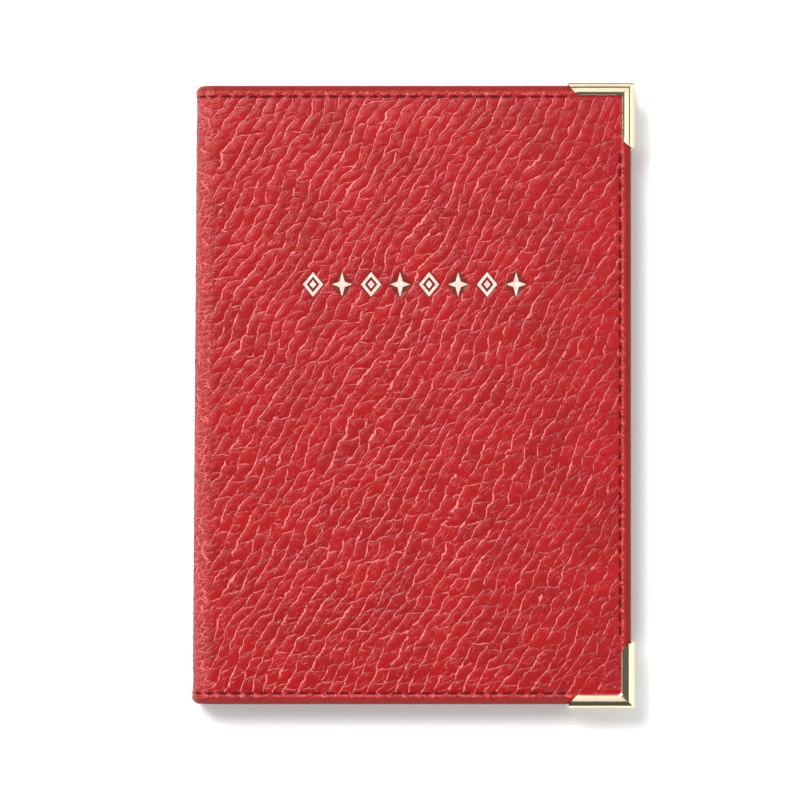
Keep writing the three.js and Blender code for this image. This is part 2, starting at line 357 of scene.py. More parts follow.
def lattice_edge(net, sheet, lattice, randomness):
    """Roughly how many millimetres a point is from the nearest crease between pebbles."""
    counted, size = lattice_point(net, sheet, lattice)
    return net.math("MULTIPLY", net.cells(counted, randomness), size)


def line_between(net, counted, spacing):
    """Millimetres to the nearest of a set of lines, one between every two whole numbers."""
    away = net.math("ABSOLUTE", net.math("SUBTRACT", net.math("FRACT", counted), 0.5))
    return net.math("MULTIPLY", away, spacing)


def row_edges(net, sheet, lattice):
    """Millimetres to the long crease beside a row of pebbles, and to the crease across the row."""
    counted, size = lattice_point(net, sheet, lattice)
    across, up, _ = net.parts(counted)
    row = net.math("FLOOR", net.math("ADD", across, 0.5))
    stagger = net.add("ShaderNodeTexWhiteNoise", {"W": row}, noise_dimensions="1D")
    beside = line_between(net, across, size * size / math.hypot(*lattice[1]))
    between = line_between(net, net.math("ADD", up, stagger), size * size / math.hypot(*lattice[0]))
    return beside, between


def warped(net, sheet, shift, slow, quick):
    """The sheet's coordinates, bent over some centimetres and again over a few millimetres."""
    moved = net.vector("ADD", sheet, (shift, shift, 0))
    wide = net.vector("SUBTRACT", net.noise(moved, 0.045, 1.0, out=1), (0.5, 0.5, 0.5))
    fine = net.vector("SUBTRACT", net.noise(moved, 0.26, 3.0, out=1), (0.5, 0.5, 0.5))
    return net.vector("ADD", net.vector("ADD", sheet, net.scaled(wide, slow)), net.scaled(fine, quick))


def near_fold(net, sheet):
    """1 over the bend beside the spine, less along the spine's middle, 0 on the flat of the cover."""
    u, _, _ = net.parts(sheet)
    away = net.math("ABSOLUTE", u)
    return net.math("MULTIPLY", net.ramp(away, 6.0, 9.0, 1.0, 0.0), net.ramp(away, 1.0, 4.0, 0.35, 1.0))


def crease_lines(net, sheet, width):
    """From 0 on the pebbles to 1 along the bottom of the creases, width millimetres to each side."""
    beside, between = row_edges(net, warped(net, sheet, 0, 7.0, 2.8), PEBBLES)
    long_lines = net.ramp(beside, 0.0, width, 1.0, 0.0)
    cross_lines = net.ramp(between, 0.0, width, 1.0, 0.0)
    clear = net.noise(sheet, 0.33, 2.0)
    long_lines = net.math("MULTIPLY", long_lines, net.ramp(clear, 0.34, 0.54, 0.35, 1.0))
    cross_lines = net.math("MULTIPLY", cross_lines, net.ramp(clear, 0.38, 0.62, 0.72, 0.35))
    main = net.math("MAXIMUM", long_lines, cross_lines)
    bent = warped(net, sheet, 57, 2.0, 1.6)
    folded = net.ramp(lattice_edge(net, bent, FOLD_PEBBLES, 0.9), 0.0, width * 1.2, 1.0, 0.0)
    fold = near_fold(net, sheet)
    main = net.math("MULTIPLY", main, net.math("SUBTRACT", 1.0, net.math("MULTIPLY", fold, 0.8)))
    return net.math("MAXIMUM", main, net.math("MULTIPLY", folded, fold))


def wrinkle_lines(net, sheet, width):
    """Fine creases that cross the pebbles here and there."""
    bent = warped(net, sheet, 31, 5.0, 0.9)
    small = net.ramp(lattice_edge(net, bent, WRINKLES, 1.0), 0.0, width, 1.0, 0.0)
    where = net.ramp(net.noise(net.vector("ADD", sheet, (9, 4, 0)), 0.42, 3.0), 0.46, 0.64)
    where = net.math("MAXIMUM", where, net.math("MULTIPLY", near_fold(net, sheet), 0.45))
    return net.math("MULTIPLY", small, where)


def calmer_to_fore_edge(net, sheet):
    """The grain's strength, which falls off a little towards the fore-edge."""
    u, _, _ = net.parts(sheet)
    return net.ramp(u, 55.0, 104.0, 1.0, 0.70)


def grain_tree():
    """Geometry nodes that store the grain's height at each point: 0 on a pebble, -1 in a crease."""
    tree = bpy.data.node_groups.new("grain", "GeometryNodeTree")
    tree.interface.new_socket("Geometry", in_out="INPUT", socket_type="NodeSocketGeometry")
    tree.interface.new_socket("Geometry", in_out="OUTPUT", socket_type="NodeSocketGeometry")
    net = Net(tree)
    given = net.add("NodeGroupInput")
    where = net.add("GeometryNodeInputNamedAttribute", {"Name": "sheet"}, data_type="FLOAT_VECTOR")
    lines = crease_lines(net, where, PEBBLE_DOME)
    height = net.math("MULTIPLY", lines, net.math("MULTIPLY", calmer_to_fore_edge(net, where), -1.0))
    inputs = {"Geometry": given, "Name": "height", "Value": height}
    stored = net.add("GeometryNodeStoreNamedAttribute", inputs, data_type="FLOAT", domain="POINT")
    end = tree.nodes.new("NodeGroupOutput")
    tree.links.new(stored, end.inputs[0])
    return tree


def grain_at(sheet):
    """The grain's height at points of the sheet, from the same net that the material uses."""
    mesh = bpy.data.meshes.new("grain_points")
    mesh.from_pydata(sheet.tolist(), [], [])
    store = mesh.attributes.new("sheet", "FLOAT_VECTOR", "POINT")
    store.data.foreach_set("vector", sheet.astype(np.float32).ravel())
    points = bpy.data.objects.new("grain_points", mesh)
    bpy.context.scene.collection.objects.link(points)
    points.modifiers.new("grain", "NODES").node_group = grain_tree()
    graph = bpy.context.evaluated_depsgraph_get()
    found = points.evaluated_get(graph).to_mesh()
    heights = np.zeros(len(sheet), np.float32)
    found.attributes["height"].data.foreach_get("value", heights)
    bpy.data.objects.remove(points)
    return heights.astype(float)


# ---- Materials ----

LEATHER_DEEP = (0.262, 0.0034, 0.0050, 1)
LEATHER_RED = (0.318, 0.0044, 0.0060, 1)
LEATHER_SHADED = (0.150, 0.0016, 0.0028, 1)
# Pale pink: random pale pores, and the painted highlights along the creases, the fine wrinkles and the lip
# beside the seam.
LEATHER_PALE = (0.930, 0.200, 0.205, 1)
# Painted sheen over the bend beside the spine.
LEATHER_PAINTED_FOLD_SHEEN = (0.380, 0.0850, 0.0680, 1)
# Burnished edge leather, darkened further as painted shade where the edge turns away from the light.
LEATHER_BURNISHED_AND_SHADED = (0.185, 0.0120, 0.0070, 1)
# Painted shade in and round each sunk foil mark.
LEATHER_MARK_SHADE = (0.075, 0.0180, 0.0070, 1)


def new_material(name):
    material = bpy.data.materials.new(name)
    material.use_nodes = True
    tree = material.node_tree
    tree.nodes.clear()
    shader = tree.nodes.new("ShaderNodeBsdfPrincipled")
    output = tree.nodes.new("ShaderNodeOutputMaterial")
    tree.links.new(shader.outputs[0], output.inputs[0])
    return material, Net(tree), shader


def attribute(net, name, out="Vector"):
    node = net.tree.nodes.new("ShaderNodeAttribute")
    node.attribute_name = name
    return node.outputs[out]


def bump(net, height, distance_mm, normal=None):
    inputs = {"Height": height, "Distance": abs(distance_mm) * MM, "Strength": 1.0}
    if normal is not None:
        inputs["Normal"] = normal
    return net.add("ShaderNodeBump", inputs, invert=distance_mm < 0)


def set_inputs(shader, **values):
    for key, value in values.items():
        shader.inputs[key.replace("_", " ")].default_value = value


def pebble_tone(net, sheet, fold, pore):
    """The dyed pebbles: blotched and pored, with a painted sheen over the bend beside the spine."""
    blotch = net.ramp(net.noise(sheet, 0.09, 3.0), 0.35, 0.65)
    tone = net.mix_colour(blotch, LEATHER_DEEP, LEATHER_RED)
    tone = net.mix_colour(net.ramp(pore, 0.50, 0.76, 0.0, 0.14), tone, LEATHER_PALE)
    tone = net.mix_colour(net.ramp(pore, 0.46, 0.26, 0.0, 0.45), tone, LEATHER_SHADED)
    # Painted sheen: the bend beside the spine is paler, as if it caught the light.
    return net.mix_colour(net.math("MULTIPLY", fold, 0.22), tone, LEATHER_PAINTED_FOLD_SHEEN)


def creased_tone(net, sheet, tone, fold, lines, wrinkles):
    """The creases: painted shade along their sides and a painted highlight along them, more here and less
    there, and a painted highlight on the fine wrinkles, most over the bend.
    """
    # Painted highlight on the fine wrinkles, strongest over the bend beside the spine.
    painted_wrinkle_highlight = net.math("MULTIPLY", wrinkles, net.ramp(fold, 0.0, 1.0, 0.16, 0.60))
    tone = net.mix_colour(painted_wrinkle_highlight, tone, LEATHER_PALE)
    # Painted shade along the sides of each crease.
    sides = net.ramp(lines, 0.05, 0.32)
    tone = net.mix_colour(net.math("MULTIPLY", sides, 0.38), tone, LEATHER_SHADED)
    # Painted highlight along each crease, broken up by speckle.
    speckle = net.noise(sheet, 1.5, 3.0, 0.6)
    painted_crease_highlight = net.math("MULTIPLY", net.ramp(lines, 0.30, 0.85), net.ramp(fold, 0.0, 1.0, 0.92, 0.55))
    painted_crease_highlight = net.math("MULTIPLY", painted_crease_highlight, net.ramp(speckle, 0.36, 0.60, 0.50, 1.0))
    return net.mix_colour(painted_crease_highlight, tone, LEATHER_PALE)


def edged_tone(net, tone, painted_lip_highlight):
    """Burnished round the edge with painted shade where it turns away, painted shade round each foil mark,
    and a painted highlight on the lip beside the seam.
    """
    # Burnish and painted shade round the edge and over the bend beside the spine.
    rim = net.math("MULTIPLY", attribute(net, "rim", "Fac"), 0.75)
    tone = net.mix_colour(rim, tone, LEATHER_BURNISHED_AND_SHADED)
    # Painted shade in and round each sunk foil mark.
    mark_shade = net.math("MULTIPLY", attribute(net, "mark_shade", "Fac"), 0.75)
    tone = net.mix_colour(mark_shade, tone, LEATHER_MARK_SHADE)
    # Painted highlight on the lip beside the seam.
    return net.mix_colour(net.math("MULTIPLY", painted_lip_highlight, 0.70), tone, LEATHER_PALE)


def pebble_leather():
    material, net, shader = new_material("pebble_leather")
    sheet = attribute(net, "sheet")
    weight = net.math("MULTIPLY", attribute(net, "grain", "Fac"), calmer_to_fore_edge(net, sheet))
    lines = net.math("MULTIPLY", crease_lines(net, sheet, 0.32), weight)
    wrinkles = net.math("MULTIPLY", wrinkle_lines(net, sheet, 0.22), weight)
    fold = near_fold(net, sheet)
    pore = net.noise(sheet, 4.5, 3.0, 0.6)
    crumbs = net.ramp(net.noise(sheet, 1.3, 3.0, 0.6), 0.42, 0.60)
    # Painted highlight on the lip outside the seam, broken into crumbs.
    painted_lip_highlight = net.math("MULTIPLY", attribute(net, "lip", "Fac"), crumbs)
    tone = pebble_tone(net, sheet, fold, pore)
    tone = creased_tone(net, sheet, tone, fold, lines, wrinkles)
    tone = edged_tone(net, tone, painted_lip_highlight)
    net.tree.links.new(tone, shader.inputs["Base Color"])
    net.tree.links.new(net.ramp(pore, 0.3, 0.7, 0.29, 0.37), shader.inputs["Roughness"])
    normal = bump(net, net.noise(sheet, 2.6, 4.0, 0.62), 0.030)
    normal = bump(net, wrinkles, -0.060, normal)
    normal = bump(net, lines, -0.20, normal)
    normal = bump(net, painted_lip_highlight, 0.10, normal)
    net.tree.links.new(normal, shader.inputs["Normal"])
    set_inputs(shader, Specular_IOR_Level=0.17)
    return material


def smooth_leather():
    material, net, shader = new_material("smooth_leather")
    sheet = attribute(net, "sheet")
    blotch = net.ramp(net.noise(sheet, 0.12, 3.0), 0.35, 0.65)
    tone = net.mix_colour(blotch, (0.295, 0.0075, 0.0090, 1), (0.325, 0.0095, 0.0110, 1))
    bent = warped(net, sheet, 11, 3.0, 0.8)
    grain = net.ramp(lattice_edge(net, bent, FINE_GRAIN, 0.9), 0.0, 0.24, 1.0, 0.0)
    tone = net.mix_colour(net.math("MULTIPLY", grain, 0.50), tone, (0.170, 0.0040, 0.0050, 1))
    net.tree.links.new(tone, shader.inputs["Base Color"])
    rough = net.ramp(net.noise(sheet, 1.5, 3.0), 0.3, 0.7, 0.46, 0.56)
    net.tree.links.new(rough, shader.inputs["Roughness"])
    normal = bump(net, grain, -0.06)
    normal = bump(net, net.noise(sheet, 0.6, 3.0), 0.04, normal)
    net.tree.links.new(normal, shader.inputs["Normal"])
    set_inputs(shader, Specular_IOR_Level=0.25)
    return material


def lining_fabric():
    material, net, shader = new_material("lining_fabric")
    sheet = attribute(net, "sheet")
    u, v, _ = net.parts(sheet)
    warp_thread = net.math("SINE", net.math("MULTIPLY", u, 2 * math.pi / 0.36))
    weft_thread = net.math("SINE", net.math("MULTIPLY", v, 2 * math.pi / 0.44))
    weave = net.math("MULTIPLY", warp_thread, weft_thread)
    blotch = net.noise(sheet, 0.5, 3.0)
    tone = net.mix_colour(blotch, (0.135, 0.0050, 0.0080, 1), (0.180, 0.0075, 0.0105, 1))
    tone = net.mix_colour(net.ramp(weave, -1.0, 1.0, 0.0, 0.35), tone, (0.300, 0.0250, 0.0270, 1))
    net.tree.links.new(tone, shader.inputs["Base Color"])
    net.tree.links.new(bump(net, weave, 0.025), shader.inputs["Normal"])
    set_inputs(shader, Roughness=0.72, Specular_IOR_Level=0.25, Sheen_Weight=0.06, Sheen_Roughness=0.4)
    return material


def thread_fibre():
    material, net, shader = new_material("thread_fibre")
    twist = net.parts(attribute(net, "sheet"))
    slant = net.math("ADD", net.math("MULTIPLY", twist[0], 9.0), net.math("MULTIPLY", twist[1], 6.0))
    ply = net.math("SINE", slant)
    tone = net.mix_colour(net.ramp(ply, -1.0, 1.0), (0.080, 0.001, 0.002, 1), (0.150, 0.002, 0.004, 1))
    net.tree.links.new(tone, shader.inputs["Base Color"])
    net.tree.links.new(bump(net, ply, 0.02), shader.inputs["Normal"])
    set_inputs(shader, Roughness=0.70, Specular_IOR_Level=0.12)
    return material


def grey_board():
    material, net, shader = new_material("grey_board")
    where = net.add("ShaderNodeTexCoord", out=3)
    fibre = net.noise(net.vector("MULTIPLY", where, (900, 2600, 900)), 1.0, 4.0)
    tone = net.mix_colour(fibre, (0.36, 0.31, 0.24, 1), (0.50, 0.45, 0.37, 1))
    net.tree.links.new(tone, shader.inputs["Base Color"])
    net.tree.links.new(bump(net, fibre, 0.05), shader.inputs["Normal"])
    set_inputs(shader, Roughness=0.9)
    return material


def gold_plate():
    material, net, shader = new_material("gold_plate")
    where = net.add("ShaderNodeTexCoord", out=3)
    cloud = net.noise(where, 400.0, 3.0)
    tone = net.mix_colour(cloud, (0.82, 0.67, 0.45, 1), (0.88, 0.76, 0.55, 1))
    net.tree.links.new(tone, shader.inputs["Base Color"])
    rub = net.noise(net.vector("MULTIPLY", where, (1500, 9000, 1500)), 1.0, 3.0)
    net.tree.links.new(net.ramp(rub, 0.3, 0.75, 0.10, 0.20), shader.inputs["Roughness"])
    net.tree.links.new(bump(net, cloud, 0.006), shader.inputs["Normal"])
    set_inputs(shader, Metallic=1.0)
    return material


def gold_foil():
    material, net, shader = new_material("gold_foil")
    sheet = attribute(net, "sheet")
    speck = net.noise(sheet, 5.0, 3.0, 0.6)
    tone = net.mix_colour(net.ramp(speck, 0.35, 0.7), (0.74, 0.44, 0.39, 1), (0.84, 0.56, 0.50, 1))
    net.tree.links.new(tone, shader.inputs["Base Color"])
    net.tree.links.new(net.ramp(speck, 0.3, 0.7, 0.30, 0.48), shader.inputs["Roughness"])
    normal = bump(net, crease_lines(net, sheet, 0.42), -0.10)
    normal = bump(net, speck, 0.03, normal)
    net.tree.links.new(normal, shader.inputs["Normal"])
    set_inputs(shader, Metallic=0.25)
    return material


LEATHER = pebble_leather()
POCKET_LEATHER = smooth_leather()
LINING = lining_fabric()
THREAD = thread_fibre()
BOARD = grey_board()
GOLD = gold_plate()
FOIL = gold_foil()


def dress(piece, material):
    piece.data.materials.clear()
    piece.data.materials.append(material)


# ---- Foil marks ----

MARK_COUNT = 8
MARK_STROKE = 0.66
MARK_SINK = 0.20
MARK_FLOOR = 0.12
MARK_WALL = 0.13


def mark_box(number):
    low, high = box_mm(f"front_foil_mark_{number}")
    centre = (low + high) / 2
    return sheet_u(centre[0]), centre[1], (high[0] - low[0]) / 2, (high[1] - low[1]) / 2


def mark_fields(u, v):
    """How far inside a foil mark's shape each point is: 1 on it, 0 well away."""
    found = np.zeros_like(u)
    for number in range(1, MARK_COUNT + 1):
        mu, mv, half_u, half_v = mark_box(number)
        away = np.abs(u - mu) / half_u + np.abs(v - mv) / half_v
        found = np.maximum(found, 1 - smooth_step(1.0, 1.30, away))
    return found


# ---- Leather ----

# The edge of a cover, as (inset, depth): over the edge, under the hem, and in under the board.
HEM_RINGS = [
    (0.62, 0.62),
    (0.27, 0.86),
    (0.06, 1.20),
    (0.00, 1.52),
    (0.10, 1.86),
    (0.38, 2.09),
    (0.85, 2.19),
    (1.60, 2.20),
    (HEM_WIDTH - 0.35, 2.19),
    (HEM_WIDTH - 0.06, 2.09),
    (HEM_WIDTH, 1.86),
    (1.50, 1.86),
    (1.50, 0.93),
]


def hide_depth(u, v, ring):
    """Depth of the hide before its grain: its face on ring 0, the hem's own depth on the others."""
    on_edge = ring > 0
    depth = np.where(on_edge, np.array([0] + [d for _, d in HEM_RINGS])[ring], cover_depth(u, v))
    # The turned ends of the spine stand a little proud all the way round their edge.
    return depth - SPINE_END_RISE * near_spine(u) * on_edge * np.clip((1.6 - depth) / 1.0, 0, 1)


def unrolled(side, u, v, inset, ring):
    """Where each point of the turned edge lies on the flat hide, for the grain to run over it."""
    on_edge = ring > 0
    section = np.diff([(EDGE_INSET, 0.4)] + HEM_RINGS, axis=0)
    round_edge = np.concatenate([[0], np.cumsum(np.hypot(*section.T))])
    past_edge = (round_edge[ring] - (inset - EDGE_INSET) * on_edge) * 0.5
    past_v = np.where(np.abs(v) > HEAD_Y - inset - 0.01, np.sign(v), 0) * on_edge
    past_u = np.where(u > SHEET_U - inset - 0.01, 1, 0) * on_edge
    mirror = 1 if side == "front" else -1
    return np.stack([mirror * (u + past_u * past_edge), v + past_v * past_edge, 0 * u], axis=1)


def grain_weight(u, v, ring, marked):
    """Full on the face, less outside the seam, round the edge and under a foil mark."""
    by_ring = np.where(ring == 0, 1.0, np.where(ring < 5, 0.55, 0.15))
    band = smooth_step(SEAM_INSET - 0.4, SEAM_INSET + 0.6, edge_inset(u, v))
    return by_ring * (0.40 + 0.60 * band) * (1 - 0.85 * marked)


def lip_highlight(u, v):
    """Painted highlight on the lip outside the seam, more between two stitches than beside one."""
    lip = ridge(edge_inset(u, v), SEAM_INSET - 0.62, 0.30)
    return lip * (1 - 0.55 * stitch_pull(along_edge(u, v)))


def burnished_and_shaded_rim(u, v, on_top):
    """The edge of the cover, and the bend beside the spine a little less: burnished, and darker with
    painted shade where the surface turns away.
    """
    edge = np.where(on_top, 1 - smooth_step(EDGE_INSET, EDGE_INSET + 0.6, edge_inset(u, v)), 1.0)
    return np.maximum(edge, 0.75 * (1 - smooth_step(1.5, 4.2, u)))


def leather_sheet(side):
    """One half of the hide, from the middle of the spine: grained face, turned edges and hem."""
    us = np.linspace(0, SHEET_U - EDGE_INSET, int(SHEET_U / GRID_MM))
    vs = np.linspace(EDGE_INSET - HEAD_Y, HEAD_Y - EDGE_INSET, int(2 * HEAD_Y / GRID_MM))
    limits = (0, SHEET_U, -HEAD_Y, HEAD_Y)
    rows, faces = ringed_sheet(us, vs, HEM_RINGS, limits, closed=False)
    u, v, inset, ring = rows.T
    ring = ring.astype(int)
    on_top = ring == 0
    sheet = unrolled(side, u, v, inset, ring)
    marked = mark_fields(u, v) * on_top * (side == "front")
    weight = grain_weight(u, v, ring, marked)
    depth = hide_depth(u, v, ring) + MARK_SINK * marked - GRAIN_MM * grain_at(sheet) * weight * on_top
    marks = {
        "sheet": sheet,
        "grain": weight,
        "lip": lip_highlight(u, v) * on_top,
        "rim": burnished_and_shaded_rim(u, v, on_top),
        # Painted shade in and round each foil mark.
        "mark_shade": marked,
    }
    made = make_mesh(f"{side}_leather", place(side, u, v, depth), faces, marks)
    dress(made, LEATHER)
    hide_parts(f"{side}_cover_leather")
    if side == "front":
        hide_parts("spine_leather")
    return made


def bend(piece):
    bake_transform(piece)


# ---- Inside: reinforcement, linings and pockets ----


def thin_sheet(name, side, span_u, span_v, depths, step, material, relief=None):
    """A thin sheet with rounded edges between two depths. Its fine face is the deeper one."""
    bottom, top = depths
    half = (top - bottom) / 2
    us = np.linspace(span_u[0] + half, span_u[1] - half, max(4, int((span_u[1] - span_u[0]) / step)))
    vs = np.linspace(span_v[0] + half, span_v[1] - half, max(4, int((span_v[1] - span_v[0]) / step)))
    rings = [
        (half * 0.3, top - half * 0.3),
        (0, top - half),
        (half * 0.3, bottom + half * 0.3),
        (half, bottom),
    ]
    rows, faces = ringed_sheet(us, vs, rings, (*span_u, *span_v), closed=True)
    u, v, _, ring = rows.T
    ring = ring.astype(int)
    depth = np.array([top] + [d for _, d in rings])[ring]
    if relief is not None:
        depth = depth + relief(u) * (ring < 3)
    points = place(side, u, v, depth)
    sheet = np.stack([u, v, 0 * u], axis=1)
    made = make_mesh(name, points, faces, {"sheet": sheet})
    dress(made, material)
    return made


# How far the lining and the pockets stop short of the cover's edge.
LINING_MARGIN = 1.8
POCKET_MARGIN = 0.8
LINING_U = SHEET_U - LINING_MARGIN
LINING_Y = HEAD_Y - LINING_MARGIN
LINING_DEPTHS = (1.56, 1.80)
STAY_DEPTHS = (0.96, 1.50)
MOUTH_U = sheet_u(POCKET_LOW[0])


def inner_sheets(side):
    lining = thin_sheet(
        f"{side}_lining_sheet",
        side,
        (0.0, LINING_U),
        (-LINING_Y, LINING_Y),
        LINING_DEPTHS,
        1.0,
        LINING,
    )
    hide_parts(f"{side}_lining")
    bend(lining)
    stay = thin_sheet(
        f"{side}_spine_stay",
        side,
        (0.0, FLAT_U),
        (-LINING_Y, LINING_Y),
        STAY_DEPTHS,
        0.6,
        BOARD,
    )
    bend(stay)
    if side == "front":
        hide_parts("spine_lining")
        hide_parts("spine_reinforcement")


def pocket_relief(mouth_u):
    """A creased line just inside the mouth, and a thicker turned edge."""

    def relief(u):
        from_mouth = u - mouth_u
        turned = 0.10 * (1 - smooth_step(5.0, 6.0, from_mouth))
        line = -0.13 * ridge(from_mouth, 2.2, 0.28)
        return turned + line

    return relief


def passport_pocket(side):
    made = thin_sheet(
        f"{side}_slip_pocket",
        side,
        (MOUTH_U, SHEET_U - POCKET_MARGIN),
        (POCKET_MARGIN - HEAD_Y, HEAD_Y - POCKET_MARGIN),
        (HEM_DEPTH + 0.05, POCKET_DEPTH),
        0.8,
        POCKET_LEATHER,
        pocket_relief(MOUTH_U),
    )
    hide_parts(f"{side}_passport_pocket")
    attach(made, f"{side}_cover")


def card_pocket(place_name):
    low, high = box_mm(f"front_card_pocket_{place_name}")
    mouth = sheet_u(low[0])
    made = thin_sheet(
        f"card_pocket_{place_name}",
        "front",
        (mouth, sheet_u(high[0])),
        (low[1], high[1]),
        (THICKNESS - high[2], THICKNESS - low[2]),
        0.8,
        POCKET_LEATHER,
        pocket_relief(mouth),
    )
    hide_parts(f"front_card_pocket_{place_name}")
    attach(made, "front_cover")


# ---- Stitches ----

CAPSULE_RINGS = 9
CAPSULE_SIDES = 8


def capsule(length, width, height):
    """A stitch about the origin, along x: a rounded rod that dips at both ends."""
    points = []
    for i in range(CAPSULE_RINGS):
        t = -1 + 2 * i / (CAPSULE_RINGS - 1)
        swell = math.sqrt(max(1 - abs(t) ** 3, 0.02))
        for j in range(CAPSULE_SIDES):
            angle = 2 * math.pi * j / CAPSULE_SIDES
            across = width / 2 * swell * math.cos(angle)
            up = height / 2 * swell * math.sin(angle) - height * 0.55 * t * t
            points.append((t * length / 2, across, up))
    faces = []
    for i in range(CAPSULE_RINGS - 1):
        for j in range(CAPSULE_SIDES):
            a = i * CAPSULE_SIDES + j
            b = i * CAPSULE_SIDES + (j + 1) % CAPSULE_SIDES
            faces.append([a, b, b + CAPSULE_SIDES, a + CAPSULE_SIDES])
    last = (CAPSULE_RINGS - 1) * CAPSULE_SIDES
    faces.append(list(range(CAPSULE_SIDES))[::-1])
    faces.append([last + j for j in range(CAPSULE_SIDES)])
    return np.array(points), faces


STITCH, STITCH_FACES = capsule(*STITCH_SIZE)

# Radians that each stitch is turned out of line by the twist of the thread.
STITCH_SLANT = 0.05
# A metal corner ends in a slant, which leaves this much more of the seam bare.
BARE_PAST_ARM = 1.6


def seam_stations():
    """(u, v, heading) of each stitch of the seam round a cover, in sheet space."""
    across = int((SHEET_U - CORNER_ARM + BARE_PAST_ARM) / STITCH_PITCH)
    seam_v = HEAD_Y - SEAM_INSET
    stations = [((k + 0.5) * STITCH_PITCH, v, 0.0) for v in (seam_v, -seam_v) for k in range(across)]
    up = int((HEAD_Y - CORNER_ARM + BARE_PAST_ARM) / STITCH_PITCH)
    seam_u = SHEET_U - SEAM_INSET
    stations += [(seam_u, (k + 0.5) * STITCH_PITCH, math.pi / 2) for k in range(-up, up)]
    return stations


def stitches(name, side, stations, depth_of, outward):
    """Every stitch of a seam as one piece. outward is 1 for the outer face and -1 for the inner."""
    points, sheet, faces = [], [], []
    rng = np.random.default_rng(7)
    for u, v, heading in stations:
        turn = heading + outward * STITCH_SLANT + rng.normal(0, 0.02)
        c, s = math.cos(turn), math.sin(turn)
        stitch_u = u + STITCH[:, 0] * c - STITCH[:, 1] * s
        stitch_v = v + STITCH[:, 0] * s + STITCH[:, 1] * c
        depth = depth_of(u, v) - outward * STITCH[:, 2]
        start = len(points) * len(STITCH)
        points.append(place(side, stitch_u, stitch_v, depth))
        sheet.append(STITCH)
        faces += [[start + k for k in face] for face in STITCH_FACES]
    made = make_mesh(name, np.concatenate(points), faces, {"sheet": np.concatenate(sheet)}, sharp=1.4)
    dress(made, THREAD)
    return made


def needle_depth(u, v):
    return float(cover_depth(u, v)) - 0.10


def bobbin_depth(u, _v):
    return (POCKET_DEPTH if u > MOUTH_U else HEM_DEPTH) - 0.02


def seam(side, thread, depth_of, outward):
    made = stitches(f"{side}_{thread}_stitches", side, seam_stations(), depth_of, outward)
    runs = [f"{side}_{thread}_thread_{run}" for run in ("head", "fore_edge", "tail")]
    if side == "front":
        runs += [f"spine_{thread}_thread_{end}" for end in ENDS]
    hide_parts(*runs)
    bend(made)


def seams(side):
    """The needle thread shows outside and the bobbin thread inside."""
    seam(side, "needle", needle_depth, 1)
    seam(side, "bobbin", bobbin_depth, -1)


def card_pocket_stitches(place_name):
    low, high = box_mm(f"front_card_pocket_{place_name}")
    inset = 1.3
    u0, u1, v1 = sheet_u(low[0]) + 0.6, sheet_u(high[0]) - inset, high[1] - inset
    across = int((u1 - u0) / STITCH_PITCH)
    stations = [(u1 - (k + 0.5) * STITCH_PITCH, end * v1, 0.0) for k in range(across) for end in (-1, 1)]
    up = int(v1 / STITCH_PITCH)
    stations += [(u1, (k + 0.5) * STITCH_PITCH, math.pi / 2) for k in range(-up, up)]
    depth = THICKNESS - low[2]
    made = stitches(f"card_pocket_{place_name}_stitches", "front", stations, lambda u, v: depth, -1)
    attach(made, "front_cover")


# ---- Metal corners ----

CORNER_WIDTH = 3.0
CORNER_SLANT = 2.3
# The face of a pressed corner across its arm, as (inset, depth), from the inner lip outwards.
# The two at the head slope outwards all the way; the two at the tail are ridged along the middle.
CORNER_FACES = {
    "head": [
        (3.02, 0.50),
        (3.00, 0.26),
        (2.97, 0.02),
        (2.91, -0.130),
        (2.84, -0.165),
        (2.46, -0.250),
        (2.00, -0.176),
        (1.44, -0.087),
        (1.38, -0.062),
        (1.18, -0.055),
        (1.12, -0.075),
        (0.75, 0.010),
        (0.45, 0.085),
    ],
    "tail": [
        (3.02, 0.50),
        (3.00, 0.34),
        (2.92, 0.16),
        (2.80, 0.05),
        (2.55, -0.02),
        (2.00, -0.135),
        (1.48, -0.245),
        (1.38, -0.262),
        (1.28, -0.262),
        (1.18, -0.250),
        (0.80, -0.186),
        (0.45, -0.124),
    ],
}
# The rest of the section, over the edge and in under the cover.
CORNER_WRAP = [
    (0.26, 0.15),
    (0.11, 0.24),
    (0.03, 0.36),
    (0.00, 0.60),
    (0.00, 2.40),
    (0.06, 2.72),
    (0.20, 2.94),
    (0.45, 3.04),
    (0.80, 3.08),
    (2.80, 3.08),
    (2.95, 3.02),
    (3.00, 2.90),
    (2.92, 2.78),
    (0.70, 2.74),
    (0.48, 2.62),
    (0.42, 2.40),
    (0.42, 0.72),
    (0.52, 0.54),
    (0.80, 0.46),
    (2.80, 0.55),
]
ARM_STEPS = 10
FILLET_STEPS = 8


def corner_path(inset, arm):
    """(along x, along y) from the outer corner, from one arm's end round to the other's."""
    share = inset / CORNER_WIDTH
    fillet = 0.10 + 0.90 * share**3
    reach = arm - CORNER_SLANT * (0.35 * share + 0.65 * share**2)
    near = inset + fillet
    lengths = np.linspace(reach, near, ARM_STEPS)
    first = [(a, inset) for a in lengths]
    turn = np.linspace(math.pi * 1.5, math.pi, FILLET_STEPS + 2)[1:-1]
    bend_points = [(near + fillet * math.cos(a), near + fillet * math.sin(a)) for a in turn]
    second = [(inset, a) for a in lengths[::-1]]
    return first + bend_points + second


